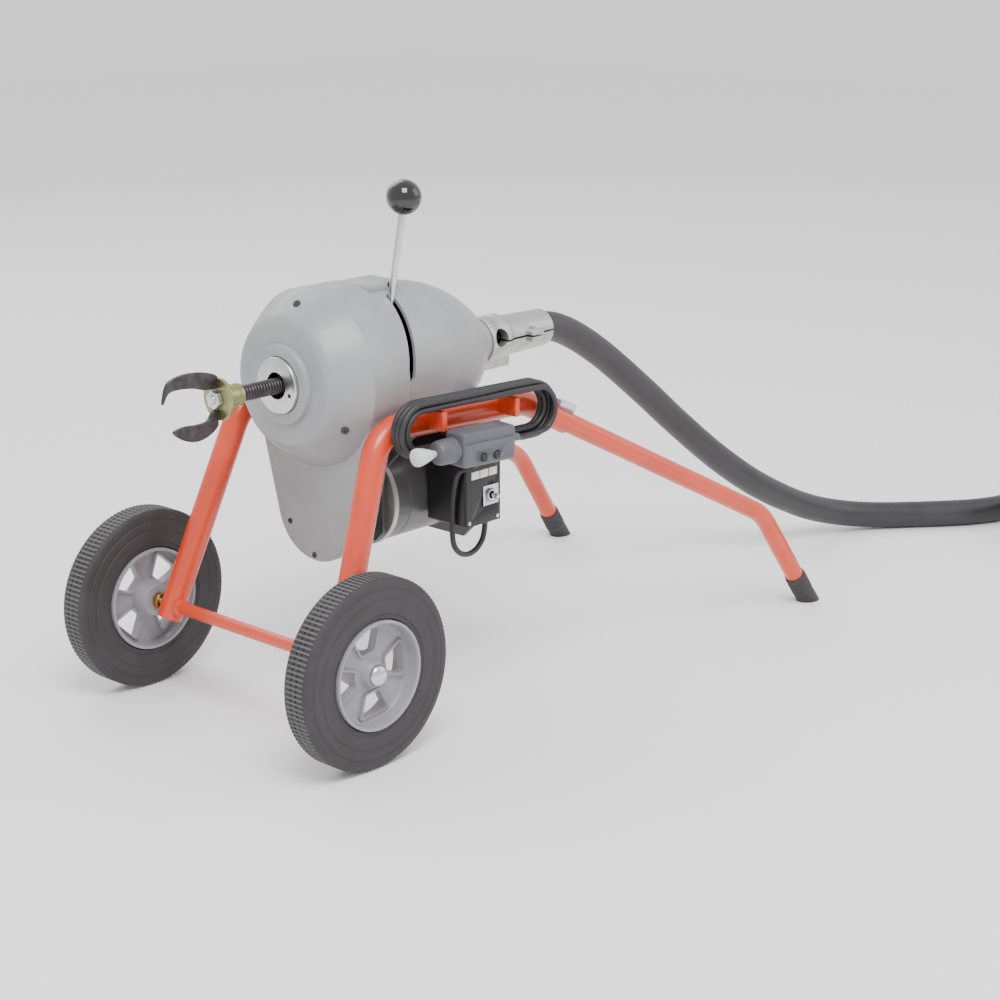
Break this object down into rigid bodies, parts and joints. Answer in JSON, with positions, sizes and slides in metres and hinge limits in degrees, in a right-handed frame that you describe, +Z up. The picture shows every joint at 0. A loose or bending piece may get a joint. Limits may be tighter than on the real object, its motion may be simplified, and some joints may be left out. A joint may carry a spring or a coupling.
{
  "type": "drain cleaning machine",
  "caption": "Wheeled tube-frame drain cleaning machine with a hollow-spindle clutch housing, sectional cable, bladed cutter and rear guide hose.",
  "frame": {"origin": "floor point under the middle of the machine's footprint, free cord and hose left out", "axes": "+X from the cutter back to the hose along the spindle, +Y to the far side, +Z up; the lever, switch and cord are on the -Y side"},
  "size_m": [1.9203, 1.0214, 0.7103],
  "materials": {
    "frame_paint": "gloss orange paint",
    "casting_paint": "satin grey paint on castings",
    "bright_steel": "bright turned steel",
    "cast_aluminium": "as-cast aluminium",
    "zinc_plate": "bright zinc plate",
    "yellow_zinc": "yellow zinc plate",
    "spring_steel": "dark oiled steel",
    "brass": "plain turned",
    "tyre_rubber": "matt black rubber",
    "rim_plastic": "moulded grey",
    "black_plastic": "satin black",
    "gloss_black": "polished black ball",
    "grey_plastic": "moulded dark grey",
    "pale_plastic": "pale translucent grey",
    "motor_paint": "satin dark grey",
    "hose_rubber": "black hose",
    "cord_rubber": "black cord"
  },
  "bodies": {
    "frame": {"near_frame_tube": "frame_paint", "far_frame_tube": "frame_paint", "axle_tube": "frame_paint", "axle_rod": "bright_steel", "near_hub_cap": "bright_steel", "far_hub_cap": "bright_steel", "near_spacer": "brass", "far_spacer": "brass", "near_leg_clamp": "zinc_plate", "far_leg_clamp": "zinc_plate", "front_yoke": "black_plastic", "rear_yoke": "black_plastic", "front_cover": "casting_paint", "rear_bell": "casting_paint", "front_bearing": "bright_steel", "rear_bearing": "bright_steel", "motor_shell": "motor_paint", "motor_front_bell": "cast_aluminium", "drive_belt": "tyre_rubber", "hose_adapter": "cast_aluminium", "guide_hose": "hose_rubber", "hose_coil": "hose_rubber", "switch_box": "black_plastic", "cord_gland": "black_plastic", "cord_lead": "cord_rubber", "cord_hank": "cord_rubber", "cord_tail": "cord_rubber", "gfci_box": "grey_plastic", "plug_cover": "pale_plastic"},
    "near_wheel": {"near_tyre": "tyre_rubber", "near_rim": "rim_plastic"},
    "far_wheel": {"far_tyre": "tyre_rubber", "far_rim": "rim_plastic"},
    "near_leg": {"near_rear_leg": "frame_paint", "near_foot_tip": "tyre_rubber"},
    "far_leg": {"far_rear_leg": "frame_paint", "far_foot_tip": "tyre_rubber"},
    "spindle": {"spindle_tube": "bright_steel", "chuck_nose": "bright_steel", "driven_pulley": "cast_aluminium"},
    "motor_rotor": {"motor_shaft": "bright_steel", "motor_pulley": "cast_aluminium"},
    "collar": {"thrust_collar": "bright_steel"},
    "lever": {"lever_ring": "spring_steel", "lever_rod": "bright_steel", "lever_knob": "gloss_black"},
    "cone": {"thrust_cone": "bright_steel"},
    "jaw_a": {"jaw_1": "spring_steel"},
    "jaw_b": {"jaw_2": "spring_steel"},
    "jaw_c": {"jaw_3": "spring_steel"},
    "cable": {"cable_section": "spring_steel", "cutter_coupling": "yellow_zinc", "cutter_bolt": "zinc_plate", "upper_blade": "spring_steel", "lower_blade": "spring_steel"},
    "toggle": {"switch_toggle": "black_plastic"},
    "test_button": {"gfci_test_button": "black_plastic"},
    "reset_button": {"gfci_reset_button": "black_plastic"}
  },
  "joints": [
    {"name": "spindle_spin", "type": "hinge", "parent": "frame", "child": "spindle", "pos_m": [-0.20595, 0, 0.451], "axis": [1, 0, 0], "continuous": true},
    {"name": "motor_spin", "type": "hinge", "parent": "frame", "child": "motor_rotor", "pos_m": [-0.10595, 0, 0.27], "axis": [1, 0, 0], "continuous": true},
    {"name": "lever_swing", "type": "hinge", "parent": "collar", "child": "lever", "pos_m": [-0.18395, 0, 0.451], "axis": [1, 0, 0], "range_deg": [0, 60]},
    {"name": "collar_slide", "type": "slide", "parent": "frame", "child": "collar", "axis": [-1, 0, 0], "range_m": [0, 0.024]},
    {"name": "cone_slide", "type": "slide", "parent": "spindle", "child": "cone", "axis": [-1, 0, 0], "range_m": [0, 0.024]},
    {"name": "cable_feed", "type": "slide", "parent": "spindle", "child": "cable", "axis": [-1, 0, 0], "range_m": [-0.03, 0.15]},
    {"name": "near_wheel_spin", "type": "hinge", "parent": "frame", "child": "near_wheel", "pos_m": [-0.40595, -0.2225, 0.127], "axis": [0, 1, 0], "continuous": true},
    {"name": "far_wheel_spin", "type": "hinge", "parent": "frame", "child": "far_wheel", "pos_m": [-0.40595, 0.2225, 0.127], "axis": [0, 1, 0], "continuous": true},
    {"name": "near_leg_slide", "type": "slide", "parent": "frame", "child": "near_leg", "axis": [0.8685, -0.1655, -0.4673], "range_m": [-0.008, 0.03]},
    {"name": "far_leg_slide", "type": "slide", "parent": "frame", "child": "far_leg", "axis": [0.8685, 0.1655, -0.4673], "range_m": [-0.008, 0.03]},
    {"name": "toggle_tilt", "type": "hinge", "parent": "frame", "child": "toggle", "pos_m": [-0.08995, -0.1348, 0.277], "axis": [0, 0, 1], "range_deg": [-15, 15]},
    {"name": "test_press", "type": "slide", "parent": "frame", "child": "test_button", "axis": [0.1171, 0.9931, 0], "range_m": [0, 0.002], "stiffness_N_per_m": 400},
    {"name": "reset_press", "type": "slide", "parent": "frame", "child": "reset_button", "axis": [0.1171, 0.9931, 0], "range_m": [0, 0.002], "stiffness_N_per_m": 400},
    {"name": "jaw_a_close", "type": "slide", "parent": "spindle", "child": "jaw_a", "axis": [0, 0, -1], "range_m": [0, 0.001]},
    {"name": "jaw_b_close", "type": "slide", "parent": "spindle", "child": "jaw_b", "axis": [0, 0.866, 0.5], "range_m": [0, 0.001]},
    {"name": "jaw_c_close", "type": "slide", "parent": "spindle", "child": "jaw_c", "axis": [0, -0.866, 0.5], "range_m": [0, 0.001]}
  ],
  "couplings": [
    {"joint": "motor_spin", "follows": "spindle_spin", "ratio": 2.4286},
    {"joint": "collar_slide", "follows": "lever_swing", "m_per_rad": 0.022916},
    {"joint": "cone_slide", "follows": "lever_swing", "m_per_rad": 0.022916},
    {"joint": "jaw_a_close", "follows": "lever_swing", "m_per_rad": 0.000954},
    {"joint": "jaw_b_close", "follows": "lever_swing", "m_per_rad": 0.000954},
    {"joint": "jaw_c_close", "follows": "lever_swing", "m_per_rad": 0.000954}
  ]
}
